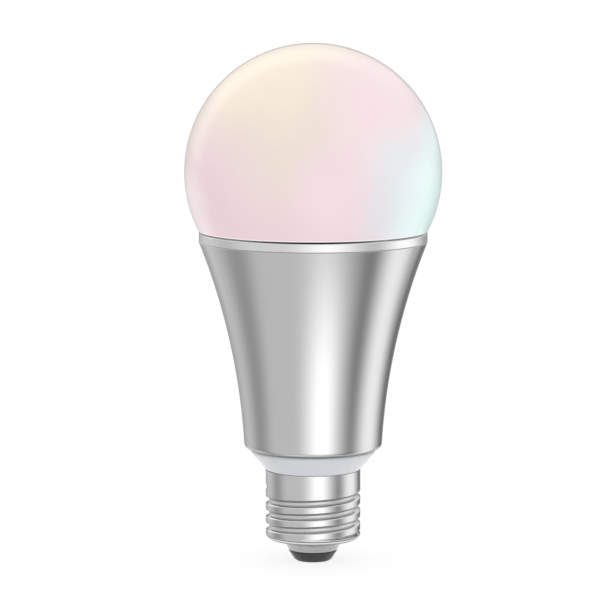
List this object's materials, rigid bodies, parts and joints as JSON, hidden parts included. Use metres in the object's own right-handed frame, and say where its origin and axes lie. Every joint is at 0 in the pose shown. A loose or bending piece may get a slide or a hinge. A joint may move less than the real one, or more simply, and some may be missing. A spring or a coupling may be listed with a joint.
{
  "type": "smart light bulb",
  "caption": "Colour-changing LED bulb with a frosted globe, flared metal body, white collar and medium screw base, and its driver, radio and LED boards inside.",
  "frame": {"origin": "middle of the flat end of the centre contact, on the screw base's axis", "axes": "+Z along the bulb's axis from the contact to the globe; the radio board stands on the -Y side, facing the picture's viewer"},
  "size_m": [0.07, 0.07, 0.1419],
  "materials": {
    "opal_plastic": "frosted opal, lit from inside",
    "body_metal": "fine turned finish",
    "shell_metal": "nickel-plated, polished",
    "contact_metal": "dull tinned",
    "black_glass": "smooth black insulator",
    "white_plastic": "satin white",
    "cup_plastic": "moulded",
    "silicone": "cured bead",
    "plate_metal": "sheet",
    "pad_grey": "gap pad",
    "white_mask": "white solder mask",
    "phosphor": "phosphor",
    "led_white": "moulded",
    "screw_steel": "plated",
    "blue_mask": "blue solder mask",
    "green_mask": "green solder mask",
    "can_metal": "tinned",
    "black_plastic": "moulded",
    "can_black": "heat-shrunk sleeve",
    "ferrite": "sintered",
    "tape_yellow": "winding tape",
    "film_red": "dipped",
    "sleeve_blue": "coated",
    "live_red": "wire insulation",
    "neutral_black": "wire insulation"
  },
  "bodies": {
    "root": {"base_collar": "white_plastic", "base_insulator": "black_glass", "board_screw_1": "screw_steel", "board_screw_2": "screw_steel", "board_screw_3": "screw_steel", "bridge_rectifier": "black_plastic", "bulk_capacitor": "can_black", "center_contact": "contact_metal", "color_led_01": "led_white", "color_led_02": "led_white", "color_led_03": "led_white", "color_led_04": "led_white", "color_led_05": "led_white", "color_led_06": "led_white", "control_chip": "black_plastic", "diffuser_globe": "opal_plastic", "diffuser_seal": "silicone", "driver_board": "green_mask", "driver_cup": "cup_plastic", "film_capacitor": "film_red", "fuse_resistor": "sleeve_blue", "heat_sink_housing": "body_metal", "heat_spreader": "plate_metal", "led_board": "white_mask", "led_socket": "led_white", "line_choke": "ferrite", "live_lead": "live_red", "module_header": "black_plastic", "neutral_lead": "neutral_black", "output_capacitor": "can_black", "output_diode": "black_plastic", "pin_header": "black_plastic", "screw_shell": "shell_metal", "shield_can": "can_metal", "thermal_pad": "pad_grey", "transformer_bobbin": "tape_yellow", "transformer_core": "ferrite", "white_led_01": "phosphor", "white_led_02": "phosphor", "white_led_03": "phosphor", "white_led_04": "phosphor", "white_led_05": "phosphor", "white_led_06": "phosphor", "white_led_07": "phosphor", "white_led_08": "phosphor", "white_led_09": "phosphor", "white_led_10": "phosphor", "white_led_11": "phosphor", "white_led_12": "phosphor", "wireless_board": "blue_mask"}
  },
  "joints": []
}
